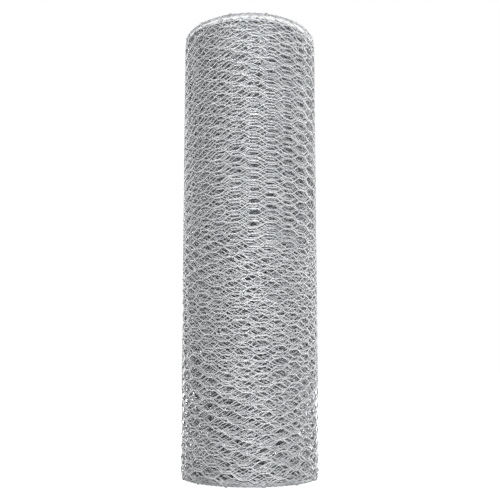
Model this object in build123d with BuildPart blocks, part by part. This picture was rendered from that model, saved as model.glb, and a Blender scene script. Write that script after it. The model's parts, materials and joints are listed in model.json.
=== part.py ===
"""A roll of chicken wire: hexagonal netting wound into one thick spiral, standing on its end.

The netting is a single piece of stock, so the roll is a single solid with an open bore.
One section is turned half a turn about each of two axes that stand half a pitch apart.
The two halves run into each other, so the ridges on the ends wind inwards as one spiral,
and the outermost turn stops in a step one turn high: the loose end of the netting.

Millimetres, +Z up. The origin is the centre of the bore on the floor, and the loose end
lies along the back, at +Y.
"""

import os

from build123d import *

# Sizes of the roll
roll_width = 500.0  # width of the netting, which is the height of the standing roll
roll_diameter = 150.0  # across the outermost turn
bore_diameter = 40.0  # left by the mandrel that the netting was wound on
turn_pitch = 2.2  # radial room that one turn takes up: a twist of two wires and a little slack
selvage_diameter = 2.0  # the two twisted wires along each edge of the netting
edge_draw_in = 2.0  # the edge wires are tighter than the meshes and pull each end in
edge_draw_height = 12.0  # height at each end over which they do

# The spiral
outer_radius = roll_diameter / 2
bore_radius = bore_diameter / 2
axis_offset = turn_pitch / 4  # each half turns about an axis this far off the centre
edge_radius = outer_radius - edge_draw_in
crest_radius = edge_radius - turn_pitch / 2  # edge of the outermost turn, mid-thickness
inner_land_radius = bore_radius + turn_pitch  # the first turn stays whole around the bore
valley_count = int((crest_radius - inner_land_radius) / turn_pitch)
core_radius = bore_radius - turn_pitch  # the section starts inside the bore, which trims it


def end_points(end_height, inward):
    """Section of one end from the outermost turn to the bore: a crest for each turn and a
    valley between neighbours. inward is +1 where a valley goes up into the roll, else -1."""
    points = [(edge_radius, end_height), (crest_radius, end_height)]
    for valley in range(valley_count):
        next_crest = crest_radius - (valley + 1) * turn_pitch
        points.append((next_crest + turn_pitch / 2, end_height + inward * selvage_diameter))
        points.append((next_crest, end_height))
    points.append((core_radius, end_height))
    return points


# The section stands in front of the axis, so the halves part at the back
front_plane = Plane(origin=(0, 0, 0), x_dir=(0, -1, 0), z_dir=(-1, 0, 0))

with BuildPart() as netting_roll:
    with BuildSketch(front_plane) as section:
        with BuildLine():
            bottom_end = Polyline(*end_points(0, 1))
            top_end = Polyline(*end_points(roll_width, -1))
            Line(bottom_end @ 1, top_end @ 1)
            wall = Line((outer_radius, edge_draw_height), (outer_radius, roll_width - edge_draw_height))
            TangentArc(wall @ 0, bottom_end @ 0, tangent=(0, -1))
            TangentArc(wall @ 1, top_end @ 0, tangent=(0, 1))
        make_face()
    right_axis = Axis((0, -axis_offset, 0), (0, 0, 1))
    left_axis = Axis((0, axis_offset, 0), (0, 0, -1))
    revolve(section.sketch, axis=right_axis, revolution_arc=180)
    revolve(section.sketch, axis=left_axis, revolution_arc=180)
    Hole(radius=bore_radius)

netting_roll.part.label = "netting_roll"

os.makedirs("parts", exist_ok=True)
export_step(netting_roll.part, "parts/netting_roll.step")
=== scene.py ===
"""Looks of a standing roll of chicken wire: every turn of its netting as real wire.

The netting is first laid out flat, with columns of twists counted along its length and z across
its width. Its wires run to and fro between the two edges. In every column a wire meets a
neighbour, twists round it for three half turns and goes on to the next one. At an edge it wraps
the edge cable and turns back. The flat wires are then rolled up along a spiral from the loose end
at the back to the bore. The outer turns, which show most, have the most points along each wire.
"""

import json
import math

import bpy
import mathutils
import numpy as np
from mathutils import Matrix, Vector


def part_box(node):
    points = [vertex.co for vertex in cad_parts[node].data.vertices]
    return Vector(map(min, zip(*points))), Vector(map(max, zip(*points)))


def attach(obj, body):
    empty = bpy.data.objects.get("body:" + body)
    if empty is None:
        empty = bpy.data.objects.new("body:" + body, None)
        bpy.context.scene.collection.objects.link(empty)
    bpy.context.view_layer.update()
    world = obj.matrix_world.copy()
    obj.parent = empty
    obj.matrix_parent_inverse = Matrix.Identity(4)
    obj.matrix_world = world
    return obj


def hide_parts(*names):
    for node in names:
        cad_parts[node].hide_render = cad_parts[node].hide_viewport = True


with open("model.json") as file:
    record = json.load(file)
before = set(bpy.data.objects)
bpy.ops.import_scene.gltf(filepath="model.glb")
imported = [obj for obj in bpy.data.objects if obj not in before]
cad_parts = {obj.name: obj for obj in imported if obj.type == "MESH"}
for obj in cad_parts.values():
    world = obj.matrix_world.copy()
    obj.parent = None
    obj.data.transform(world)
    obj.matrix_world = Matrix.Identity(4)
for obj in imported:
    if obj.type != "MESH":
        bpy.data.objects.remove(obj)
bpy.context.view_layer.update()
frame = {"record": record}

# Sizes in metres
MM = 0.001
WIRE_RADIUS = 0.5 * MM
CABLE_WIRE_RADIUS = 0.5 * MM  # each of the two wires twisted along an edge
ROWS = 39  # meshes across the width of the netting
COLUMN_PITCH = 19.0 * MM  # from one column of twists to the next, along the netting
TWIST_SHARE = 0.55  # of the column pitch; the rest is the run of the diagonals
TWIST_HALF_TURNS = 3
WRAP_HALF_TURNS = 2  # round the edge cable, back to the side it came from
WRAP_FLATNESS = 0.7  # a wrap reaches this much as far outwards as up and down
CABLE_TURNS = 1.5  # of the two wires of an edge cable, in one column
DIAGONAL_BEND = 0.3  # 0 is a straight diagonal, 1 one that leaves the twists level

# The spiral: the outermost turn is pulled tight, and the turns inside it lie looser and looser
LOOSE_END_ANGLE = math.pi / 2  # at the back
OUTER_PITCH = 0.75 * MM
FIRST_TURN_END = (0.9, 1.3)  # turns from the loose end, over which one turn passes into the next
SECOND_TURN_END = (1.9, 2.3)
THIRD_TURN_END = (2.5, 3.5)

# Cut wires at the loose end: hooked back under the turn below, at these shares of a diagonal
HOOK_SHARES = (0.25, 0.50, 0.60, 0.45)
HOOK_LIFTS = (-2.4 * MM, -2.6 * MM, -1.3 * MM, 0.0)
HOOK_JITTER = 0.12
HOOK_SEED = 7

# How far the meshes depart from even ones
ROW_WANDER = 0.5 * MM
INNER_ROW_WANDER = 1.2 * MM  # inside the three outermost turns
COLUMN_WANDER = 0.04  # of the column pitch
LIFT_WANDER = 0.08 * MM
EDGE_WANDER = 0.7 * MM  # at the upper edge
INNER_EDGE_WANDER = 1.75 * MM  # at the lower edge, inside the outermost turn
EDGE_SWAY = 0.9  # an edge strays inwards by this share of its wander, give or take as much
MOST_STRAY = 2.0  # of its wander
LOWER_EDGE_PLACE = 0.0  # where an edge reads the edge waves: apart, so that the two edges differ
UPPER_EDGE_PLACE = 400 * MM
EDGE_HOLD = 30 * MM  # the wander and the slip of rows fade out over this height at each edge
WAVE_SPREAD = (0.7, 1.6)  # the shortest and longest waves of a kind, as shares of its wave length

# How far the turns slip past each other
ROW_SLIP = 3.2 * MM
SLIP_RATE = 1.382  # waves of the row slip in a turn: not a whole number, so neighbours slip apart
UPPER_SLIP_PHASE = 2.0  # radians
UPPER_PHASE_WANDER = 0.35  # small, so a row slip hardly changes all the way up the upper half
LOWER_SLIP_WAVE = 300 * MM  # in the lower half it goes to and fro in waves of this length
LOWER_SLIP_SHARE = 0.8  # of the row slip
FALL_SHARE = 0.7  # of a half mesh, by which lower rows drop where they slip a column to the right
UPPER_COLUMN_SLIP = 0.3  # of the column pitch
LOWER_COLUMN_SLIP = 0.45
SLIP_CHANGE = (200 * MM, 290 * MM)  # heights between which the lower slips pass into the upper ones

# The two ends
EDGE_DRAW_IN = 2.0 * MM  # the edge cables are tight and pull the outermost turn in
EDGE_DRAW_HEIGHT = 12.0 * MM
INNER_EDGE_DROP = 3.2 * MM  # the two outermost turns stand this far above the ones inside them
RIGHT_EDGE_DROP = 3.0 * MM  # and this much further on the right
UPPER_SADDLE = 4.0 * MM  # the upper end and its rows dip by this much at the left and right
LOWER_SADDLE = -6.0 * MM  # while rows further down rise there
LOWER_SADDLE_HEIGHT = 120 * MM
UPPER_SADDLE_HEIGHT = 350 * MM

# Galvanised wire
METALLIC = 0.35
DARK_ZINC = (0.36, 0.37, 0.385, 1)
PALE_ZINC = (0.60, 0.61, 0.62, 1)
ZINC_RANGE = (0.2, 0.8)  # values of the pattern that are all dark and all pale
SPANGLE_SCALE = 260.0  # crystals to the metre
CLOUD_SCALE = 38.0
CLOUD_DETAIL = 4.0
CLOUD_SHARE = 0.45  # of the pattern; the rest is crystals
ROUGHNESS = (0.42, 0.64)
SKIN_SCALE = 1400.0
SKIN_DETAIL = 3.0
SKIN_STRENGTH = 0.25
SKIN_DEPTH = 0.1 * MM

# Painted shade: wires are darkened over this height at both ends of the roll, as if in shade there
PAINTED_SHADE_HEIGHT = 5.0 * MM
FULL_PAINTED_SHADE_HEIGHT = PAINTED_SHADE_HEIGHT / 3
PAINTED_SHADE_AMOUNT = 0.8
PAINTED_SHADE_TINT = (0.35, 0.35, 0.36, 1)

# Camera, floor and light
CAMERA_DISTANCE = 900 * MM
CAMERA_HEIGHT = 130 * MM
CAMERA_TILT = 7.6  # degrees upwards
CAMERA_LENS = 57.9  # in millimetres, and so is the sensor
CAMERA_SENSOR = 36.0
CAMERA_CLIP = 10 * MM
WHITE = (1, 1, 1, 1)
FLOOR_SIZE = 6.0  # from its middle to each side
FLOOR_COLOUR = (0.9, 0.9, 0.9, 1)
FLOOR_ROUGHNESS = 0.9
FLOOR_GLOW = 0.88  # keeps the floor white to the camera without lighting the roll from below
WORLD_LIGHT = 0.2
WORLD_SEEN = 1.0
LIGHT_TARGET = (0, 0, 0.25)
# Name, place, width and power of each area light
LIGHTS = [
    ("key", (0.15, -1.8, 0.6), 0.25, 42.5),
    ("right", (1.5, 0.9, 0.6), 1.8, 42),
    ("back", (-0.9, 1.6, 0.7), 1.8, 46),
    ("above", (-0.3, 0.3, 1.7), 0.6, 9),
]

# The roll, from the frame
roll_low, roll_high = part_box("netting_roll")
height = roll_high.z - roll_low.z
half_mesh = height / (2 * ROWS)
front_radius = -roll_low.y
turn_pitch = 2 * (roll_high.y - front_radius)  # the loose end stands half a pitch further out
bore = next(mount for mount in frame["record"]["mounts"] if mount["name"] == "bore")
bore_radius = bore["dims"]["r_mm"] * MM
start_radius = roll_high.y - 2 * WIRE_RADIUS
end_radius = bore_radius + 2 * WIRE_RADIUS
edge_margin = 2 * CABLE_WIRE_RADIUS + 2 * WIRE_RADIUS  # from the middle of an edge cable outwards
turn_count = (start_radius - end_radius) / turn_pitch
pitch_growth = 2 * (start_radius - end_radius - OUTER_PITCH * turn_count) / turn_count ** 2


def spiral_radius(angle):
    turns = np.asarray(angle) / (2 * math.pi)
    return start_radius - OUTER_PITCH * turns - pitch_growth * turns ** 2 / 2


def column_angles():
    """Angle from the loose end at which each column of the netting starts."""
    angles = [0.0]
    while spiral_radius(angles[-1]) > end_radius:
        angles.append(angles[-1] + COLUMN_PITCH / spiral_radius(angles[-1]))
    return np.array(angles)


COLUMN_ANGLES = column_angles()
LOOSE_END = 1  # the first whole column
INNER_END = len(COLUMN_ANGLES) - 2  # the last whole column


def angle_at(column):
    return np.interp(column, np.arange(len(COLUMN_ANGLES)), COLUMN_ANGLES)


def smoothstep(low, high, x):
    share = np.clip((x - low) / (high - low), 0.0, 1.0)
    return share * share * (3 - 2 * share)


def inside_turn(turn_end, angle):
    """0 from the loose end up to the end of a turn, and 1 further in."""
    return smoothstep(*turn_end, angle / (2 * math.pi))


def waves(seed, count, column_wave, z_wave):
    """A smooth seeded function of column and z, about -1 to 1, with waves near the given lengths."""
    rng = np.random.default_rng(seed)
    column_rate = 2 * math.pi / (column_wave * rng.uniform(*WAVE_SPREAD, count)) * rng.choice([-1, 1], count)
    z_rate = 2 * math.pi / (z_wave * rng.uniform(*WAVE_SPREAD, count))
    phase = rng.uniform(0, 2 * math.pi, count)

    def value(column, z):
        total = 0.0
        for i in range(count):
            total = total + np.sin(column * column_rate[i] + z * z_rate[i] + phase[i])
        return total / math.sqrt(count)

    return value


row_waves = waves(seed=1, count=6, column_wave=4.0, z_wave=90 * MM)
column_waves = waves(seed=2, count=6, column_wave=4.0, z_wave=90 * MM)
lift_waves = waves(seed=3, count=6, column_wave=7.0, z_wave=120 * MM)
edge_waves = waves(seed=4, count=5, column_wave=26.0, z_wave=1000 * MM)
slip_phase_waves = waves(seed=5, count=6, column_wave=60.0, z_wave=400 * MM)
upper_slip_waves = waves(seed=8, count=6, column_wave=30.0, z_wave=1500 * MM)
lower_slip_waves = waves(seed=12, count=6, column_wave=30.0, z_wave=350 * MM)


def edge_stray(column, place):
    """How far an edge strays inwards, in shares of its wander."""
    return np.clip(EDGE_SWAY + EDGE_SWAY * edge_waves(column, place), 0.0, MOST_STRAY)


def bottom_edge(column):
    inside = inside_turn(FIRST_TURN_END, angle_at(column))
    return edge_margin + INNER_EDGE_WANDER * edge_stray(column, LOWER_EDGE_PLACE) * inside


def top_edge(column):
    angle = angle_at(column)
    to_right = (1 + np.sin(angle + math.pi)) / 2
    drop = (INNER_EDGE_DROP + RIGHT_EDGE_DROP * to_right) * inside_turn(SECOND_TURN_END, angle)
    return height - edge_margin - drop - EDGE_WANDER * edge_stray(column, UPPER_EDGE_PLACE)


def drawn_in(radius, z):
    """How far the tight edge cables pull netting in at a radius and a height."""
    from_end = np.minimum(z, height - z)
    share = np.clip(1 - from_end / EDGE_DRAW_HEIGHT, 0.0, 1.0)
    return EDGE_DRAW_IN * share ** 2 * (radius - bore_radius) / (front_radius - bore_radius)


def upper_slip(column, z):
    """Column slip and row slip in the upper half, where the meshes stand in stacks."""
    wander = UPPER_PHASE_WANDER * slip_phase_waves(column, z)
    phase = SLIP_RATE * angle_at(column) + UPPER_SLIP_PHASE + wander
    return UPPER_COLUMN_SLIP * upper_slip_waves(column, z), ROW_SLIP * np.sin(phase)


def lower_slip(column, z):
    """Column slip and row slip in the lower half, where rows drop as they slip to the right."""
    wander = 2 * math.pi * z / LOWER_SLIP_WAVE + slip_phase_waves(column, z)
    phase = SLIP_RATE * angle_at(column) + wander
    column_slip = LOWER_COLUMN_SLIP * lower_slip_waves(column, z)
    fall = FALL_SHARE * half_mesh * column_slip
    return column_slip, LOWER_SLIP_SHARE * ROW_SLIP * np.sin(phase) - fall


def saddle(x, z):
    """How far the rows dip away from the front and back at a height."""
    lower = LOWER_SADDLE * smoothstep(0.0, LOWER_SADDLE_HEIGHT, z)
    change = (UPPER_SADDLE - LOWER_SADDLE) * smoothstep(LOWER_SADDLE_HEIGHT, UPPER_SADDLE_HEIGHT, z)
    return (lower + change) * (x / front_radius) ** 2


def roll_up(column, z, lift):
    """Flat netting points to points on the spiral. lift is how far they stand off it, outwards."""
    free = smoothstep(0.0, EDGE_HOLD, z) * smoothstep(0.0, EDGE_HOLD, height - z)
    upper = smoothstep(*SLIP_CHANGE, z)
    slips = zip(lower_slip(column, z), upper_slip(column, z))
    column_slip, row_slip = (low + (high - low) * upper for low, high in slips)
    angle = angle_at(column + COLUMN_WANDER * column_waves(column, z) + column_slip)
    row_wander = ROW_WANDER + (INNER_ROW_WANDER - ROW_WANDER) * inside_turn(THIRD_TURN_END, angle)
    z = z + (row_wander * row_waves(column, z) + row_slip) * free
    radius = spiral_radius(angle) + lift + LIFT_WANDER * lift_waves(column, z)
    radius = radius - drawn_in(radius, z)
    x = radius * np.cos(LOOSE_END_ANGLE + angle)
    y = radius * np.sin(LOOSE_END_ANGLE + angle)
    return np.stack([x, y, z - saddle(x, z)], axis=-1)


def wire_heights(column):
    """Row of each of the 2 * ROWS wires in a column, in half meshes above the lower edge.
    A wire climbs half a mesh a column to the upper edge, then comes down again."""
    way = (np.arange(1, 4 * ROWS, 2) + column) % (4 * ROWS)
    return np.where(way <= 2 * ROWS, way, 4 * ROWS - way)


def twist_points(column, count):
    """Flat points of all wires in one column's twists and edge wraps, each wires by count."""
    before, row = wire_heights(column - 1), wire_heights(column)
    at_edge = ((row == 0) | (row == 2 * ROWS))[:, None]
    half_turns = np.where(at_edge, WRAP_HALF_TURNS, TWIST_HALF_TURNS)
    swing = np.where(at_edge, 2 * CABLE_WIRE_RADIUS + WIRE_RADIUS, WIRE_RADIUS)
    along = np.linspace(0.0, 1.0, count)
    phase_in = np.where(before < row, -math.pi / 2, math.pi / 2)[:, None]
    phase = phase_in + math.pi * half_turns * along
    u = np.broadcast_to(column + 0.5 + (along - 0.5) * TWIST_SHARE, phase.shape)
    low, high = bottom_edge(u), top_edge(u)
    z = low + (high - low) * row[:, None] / (2 * ROWS) + swing * np.sin(phase)
    lift = swing * np.where(at_edge, WRAP_FLATNESS, 1.0) * np.cos(phase)
    return u, z, lift


def hook_points(u, z):
    """Flat points that lead each cut wire from its tip to where its first twist starts."""
    rng = np.random.default_rng(HOOK_SEED)
    rise = wire_heights(LOOSE_END) - wire_heights(LOOSE_END - 1)
    shares = np.array(HOOK_SHARES) + rng.uniform(-HOOK_JITTER, HOOK_JITTER, len(u))[:, None]
    hook_u = u[:, None] - (1 - TWIST_SHARE) * shares
    hook_z = z[:, None] - (half_mesh * rise)[:, None] * shares
    return hook_u, hook_z, np.broadcast_to(HOOK_LIFTS, shares.shape)


def with_diagonals(values, shares):
    """Values along wires, given in their twists, with diagonals between them at the given shares."""
    end, start = values[:, :-1, -1:], values[:, 1:, :1]
    body = np.concatenate([values[:, :-1], end + (start - end) * shares], axis=2)
    return np.concatenate([body.reshape(len(values), -1), values[:, -1, :1]], axis=1)


def wire_points(first, last, twist_count, diagonal_count):
    """Points of all wires from column first up to column last, shaped wires by points by three."""
    columns = [twist_points(column, twist_count) for column in range(first, last + 1)]
    u, z, lift = (np.stack(values, axis=1) for values in zip(*columns))
    gaps = np.linspace(0.0, 1.0, diagonal_count + 2)[1:-1]
    bends = gaps - DIAGONAL_BEND * np.sin(2 * math.pi * gaps) / (2 * math.pi)
    wires = [with_diagonals(u, gaps), with_diagonals(z, bends), with_diagonals(lift, gaps)]
    if first == LOOSE_END:
        hooks = hook_points(u[:, 0, 0], z[:, 0, 0])
        wires = [np.concatenate([hook, wire], axis=1) for hook, wire in zip(hooks, wires)]
    return roll_up(*wires)


def cable_points(edge, first, last, steps):
    """The two twisted wires along one edge, shaped two by points by three."""
    u = np.linspace(first, last, (last - first) * steps + 1)
    strand = np.array([0.0, math.pi])[:, None]
    phase = 2 * math.pi * CABLE_TURNS * u + strand
    z = edge(u) + CABLE_WIRE_RADIUS * np.sin(phase)
    return roll_up(np.broadcast_to(u, phase.shape), z, CABLE_WIRE_RADIUS * np.cos(phase))


def tube_rings(points, radius, sides):
    """Corners of tubes round lines of points, shaped tubes by points by sides by three."""
    tangent = np.gradient(points, axis=1)
    tangent /= np.linalg.norm(tangent, axis=2, keepdims=True)
    outward = points * (1.0, 1.0, 0.0)
    outward /= np.linalg.norm(outward, axis=2, keepdims=True)
    normal = outward - tangent * (outward * tangent).sum(axis=2, keepdims=True)
    normal /= np.linalg.norm(normal, axis=2, keepdims=True)
    side = np.cross(tangent, normal)
    turn = 2 * math.pi * (np.arange(sides) + 0.5) / sides
    ring = normal[:, :, None] * np.cos(turn)[:, None] + side[:, :, None] * np.sin(turn)[:, None]
    return points[:, :, None] + radius * ring


def tube_faces(shape, first_vertex):
    """Vertex numbers of the side faces and the end caps of tubes with corners of the given shape."""
    index = first_vertex + np.arange(math.prod(shape)).reshape(shape)
    following = np.roll(index, -1, axis=2)
    quads = np.stack([index[:, :-1], following[:, :-1], following[:, 1:], index[:, 1:]], axis=-1)
    caps = np.concatenate([index[:, 0, ::-1], index[:, -1]])
    return quads.reshape(-1, 4), caps


def tube_mesh(name, bundles):
    """One mesh of closed tubes. Each bundle is points shaped tubes by points by three, a radius
    and a number of sides."""
    vertices, loops, starts = [], [], []
    vertex_count = loop_count = 0
    for points, radius, sides in bundles:
        corners = tube_rings(points, radius, sides)
        vertices.append(corners.reshape(-1, 3))
        for faces in tube_faces(corners.shape[:3], vertex_count):
            loops.append(faces.ravel())
            starts.append(loop_count + np.arange(len(faces)) * faces.shape[1])
            loop_count += faces.size
        vertex_count += len(vertices[-1])
    mesh = bpy.data.meshes.new(name)
    mesh.vertices.add(vertex_count)
    mesh.vertices.foreach_set("co", np.concatenate(vertices).astype(np.float32).ravel())
    mesh.loops.add(loop_count)
    mesh.loops.foreach_set("vertex_index", np.concatenate(loops).astype(np.int32))
    face_starts = np.concatenate(starts).astype(np.int32)
    mesh.polygons.add(len(face_starts))
    mesh.polygons.foreach_set("loop_start", face_starts)
    mesh.polygons.foreach_set("use_smooth", np.ones(len(face_starts), dtype=bool))
    mesh.update(calc_edges=True)
    mesh.validate()
    return mesh


def add_netting(name, bundles, material):
    mesh = tube_mesh(name, bundles)
    mesh.materials.append(material)
    piece = bpy.data.objects.new(name, mesh)
    bpy.context.scene.collection.objects.link(piece)
    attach(piece, "root")
    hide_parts("netting_roll")
    mesh.calc_loop_triangles()
    print(name, "triangles", len(mesh.loop_triangles))


def new_node(nodes, kind, values=None, **settings):
    """A shader node with some of its settings and input values."""
    node = nodes.new("ShaderNode" + kind)
    for setting, value in settings.items():
        setattr(node, setting, value)
    for socket, value in (values or {}).items():
        node.inputs[socket].default_value = value
    return node


def zinc_colour(nodes, links, place, clouds):
    """Socket with crystals and cloudy patches, from a dark tone to a pale one."""
    spangle = new_node(nodes, "TexVoronoi", {"Scale": SPANGLE_SCALE})
    links.new(place, spangle.inputs["Vector"])
    pattern = new_node(nodes, "Mix", {"Factor": CLOUD_SHARE}, data_type="FLOAT")
    links.new(spangle.outputs["Color"], pattern.inputs["A"])
    links.new(clouds, pattern.inputs["B"])
    tone = new_node(nodes, "ValToRGB")
    for stop, position, colour in zip(tone.color_ramp.elements, ZINC_RANGE, (DARK_ZINC, PALE_ZINC)):
        stop.position = position
        stop.color = colour
    links.new(pattern.outputs["Result"], tone.inputs["Fac"])
    return tone.outputs["Color"]


def with_painted_end_shade(nodes, links, place, colour):
    """Socket with the given colour, with painted shade darkening it towards both ends of the roll."""
    along = new_node(nodes, "SeparateXYZ")
    links.new(place, along.inputs["Vector"])
    from_middle = new_node(nodes, "Math", {1: height / 2}, operation="SUBTRACT")
    links.new(along.outputs["Z"], from_middle.inputs[0])
    either_way = new_node(nodes, "Math", operation="ABSOLUTE")
    links.new(from_middle.outputs["Value"], either_way.inputs[0])
    limits = {"From Min": height / 2 - PAINTED_SHADE_HEIGHT, "From Max": height / 2 - FULL_PAINTED_SHADE_HEIGHT}
    # Painted shade: how much darker the wires are painted near each end
    painted_shade = new_node(nodes, "MapRange", limits | {"To Max": PAINTED_SHADE_AMOUNT})
    links.new(either_way.outputs["Value"], painted_shade.inputs["Value"])
    darken = new_node(nodes, "Mix", {"B": PAINTED_SHADE_TINT}, data_type="RGBA", blend_type="MULTIPLY")
    links.new(painted_shade.outputs["Result"], darken.inputs["Factor"])
    links.new(colour, darken.inputs["A"])
    return darken.outputs["Result"]


def rough_skin(nodes, links, place):
    """Socket with the normals of a finely rough surface."""
    skin = new_node(nodes, "TexNoise", {"Scale": SKIN_SCALE, "Detail": SKIN_DETAIL})
    links.new(place, skin.inputs["Vector"])
    bump = new_node(nodes, "Bump", {"Strength": SKIN_STRENGTH, "Distance": SKIN_DEPTH})
    links.new(skin.outputs["Fac"], bump.inputs["Height"])
    return bump.outputs["Normal"]


def galvanised_wire():
    """Dull zinc over drawn steel: crystals, cloudy patches, painted shade at both ends and a fine rough
    skin.
    """
    material = bpy.data.materials.new("galvanised_wire")
    material.use_nodes = True
    nodes, links = material.node_tree.nodes, material.node_tree.links
    shader = nodes["Principled BSDF"]
    shader.inputs["Metallic"].default_value = METALLIC
    place = new_node(nodes, "TexCoord").outputs["Object"]
    cloud_noise = new_node(nodes, "TexNoise", {"Scale": CLOUD_SCALE, "Detail": CLOUD_DETAIL})
    links.new(place, cloud_noise.inputs["Vector"])
    clouds = cloud_noise.outputs["Fac"]
    colour = zinc_colour(nodes, links, place, clouds)
    # Painted shade: the base colour is darkened towards both ends of the roll
    links.new(with_painted_end_shade(nodes, links, place, colour), shader.inputs["Base Color"])
    rough = new_node(nodes, "MapRange", {"To Min": ROUGHNESS[0], "To Max": ROUGHNESS[1]})
    links.new(clouds, rough.inputs["Value"])
    links.new(rough.outputs["Result"], shader.inputs["Roughness"])
    links.new(rough_skin(nodes, links, place), shader.inputs["Normal"])
    return material


def pale_floor():
    """A pale matt material that also glows, for the camera alone."""
    material = bpy.data.materials.new("pale_floor")
    material.use_nodes = True
    nodes, links = material.node_tree.nodes, material.node_tree.links
    shader = nodes["Principled BSDF"]
    shader.inputs["Base Color"].default_value = FLOOR_COLOUR
    shader.inputs["Roughness"].default_value = FLOOR_ROUGHNESS
    shader.inputs["Emission Color"].default_value = WHITE
    path = new_node(nodes, "LightPath")
    glow = new_node(nodes, "Math", {1: FLOOR_GLOW}, operation="MULTIPLY")
    links.new(path.outputs["Is Camera Ray"], glow.inputs[0])
    links.new(glow.outputs["Value"], shader.inputs["Emission Strength"])
    return material


def add_floor():
    corners = [(-FLOOR_SIZE, -FLOOR_SIZE, 0), (FLOOR_SIZE, -FLOOR_SIZE, 0)]
    corners += [(FLOOR_SIZE, FLOOR_SIZE, 0), (-FLOOR_SIZE, FLOOR_SIZE, 0)]
    mesh = bpy.data.meshes.new("floor")
    mesh.from_pydata(corners, [], [(0, 1, 2, 3)])
    mesh.materials.append(pale_floor())
    floor = bpy.data.objects.new("floor", mesh)
    bpy.context.scene.collection.objects.link(floor)


def add_area_light(name, place, size, power):
    data = bpy.data.lights.new(name, "AREA")
    data.size = size
    data.energy = power
    lamp = bpy.data.objects.new(name, data)
    lamp.location = place
    direction = mathutils.Vector(LIGHT_TARGET) - mathutils.Vector(place)
    lamp.rotation_euler = direction.to_track_quat("-Z", "Y").to_euler()
    bpy.context.scene.collection.objects.link(lamp)


def add_world():
    """Even white light from all round, and a white background no brighter than white."""
    world = bpy.data.worlds.new("studio")
    world.use_nodes = True
    nodes, links = world.node_tree.nodes, world.node_tree.links
    light = nodes["Background"]
    light.inputs["Color"].default_value = WHITE
    light.inputs["Strength"].default_value = WORLD_LIGHT
    seen = new_node(nodes, "Background", {"Color": WHITE, "Strength": WORLD_SEEN})
    path = new_node(nodes, "LightPath")
    either = new_node(nodes, "MixShader")
    links.new(path.outputs["Is Camera Ray"], either.inputs["Fac"])
    links.new(light.outputs["Background"], either.inputs[1])
    links.new(seen.outputs["Background"], either.inputs[2])
    links.new(either.outputs["Shader"], nodes["World Output"].inputs["Surface"])
    bpy.context.scene.world = world


def add_camera():
    data = bpy.data.cameras.new("camera")
    data.sensor_width = CAMERA_SENSOR
    data.lens = CAMERA_LENS
    data.clip_start = CAMERA_CLIP
    camera = bpy.data.objects.new("camera", data)
    camera.location = (0, -CAMERA_DISTANCE, CAMERA_HEIGHT)
    camera.rotation_euler = (math.radians(90 + CAMERA_TILT), 0, 0)
    bpy.context.scene.collection.objects.link(camera)
    bpy.context.scene.camera = camera


# Level of detail: name, first and last column, points on a twist and a diagonal, sides, cable steps
LEVELS = [
    ("outer_turn", LOOSE_END, 25, 10, 2, 4, 9),
    ("second_turn", 25, 49, 7, 2, 4, 9),
    ("third_to_fifth_turn", 49, 121, 4, 1, 3, 6),
    ("sixth_to_tenth_turn", 121, 231, 2, 1, 3, 6),
    ("middle_turns", 231, 330, 2, 0, 3, 4),
    ("core_turns", 330, INNER_END, 2, 1, 3, 5),
]
wire = galvanised_wire()
for name, first, last, twist_count, diagonal_count, sides, cable_steps in LEVELS:
    points = wire_points(first, last, twist_count, diagonal_count)
    bundles = [(points, WIRE_RADIUS, sides)]
    for edge in (bottom_edge, top_edge):
        bundles.append((cable_points(edge, first, last, cable_steps), CABLE_WIRE_RADIUS, sides + 1))
    add_netting(name, bundles, wire)

add_floor()
add_world()
for name, place, size, power in LIGHTS:
    add_area_light(name, place, size, power)
add_camera()
bpy.context.scene.view_settings.view_transform = "Standard"
bpy.context.scene.cycles.denoising_prefilter = "NONE"  # keeps thin wires crisp
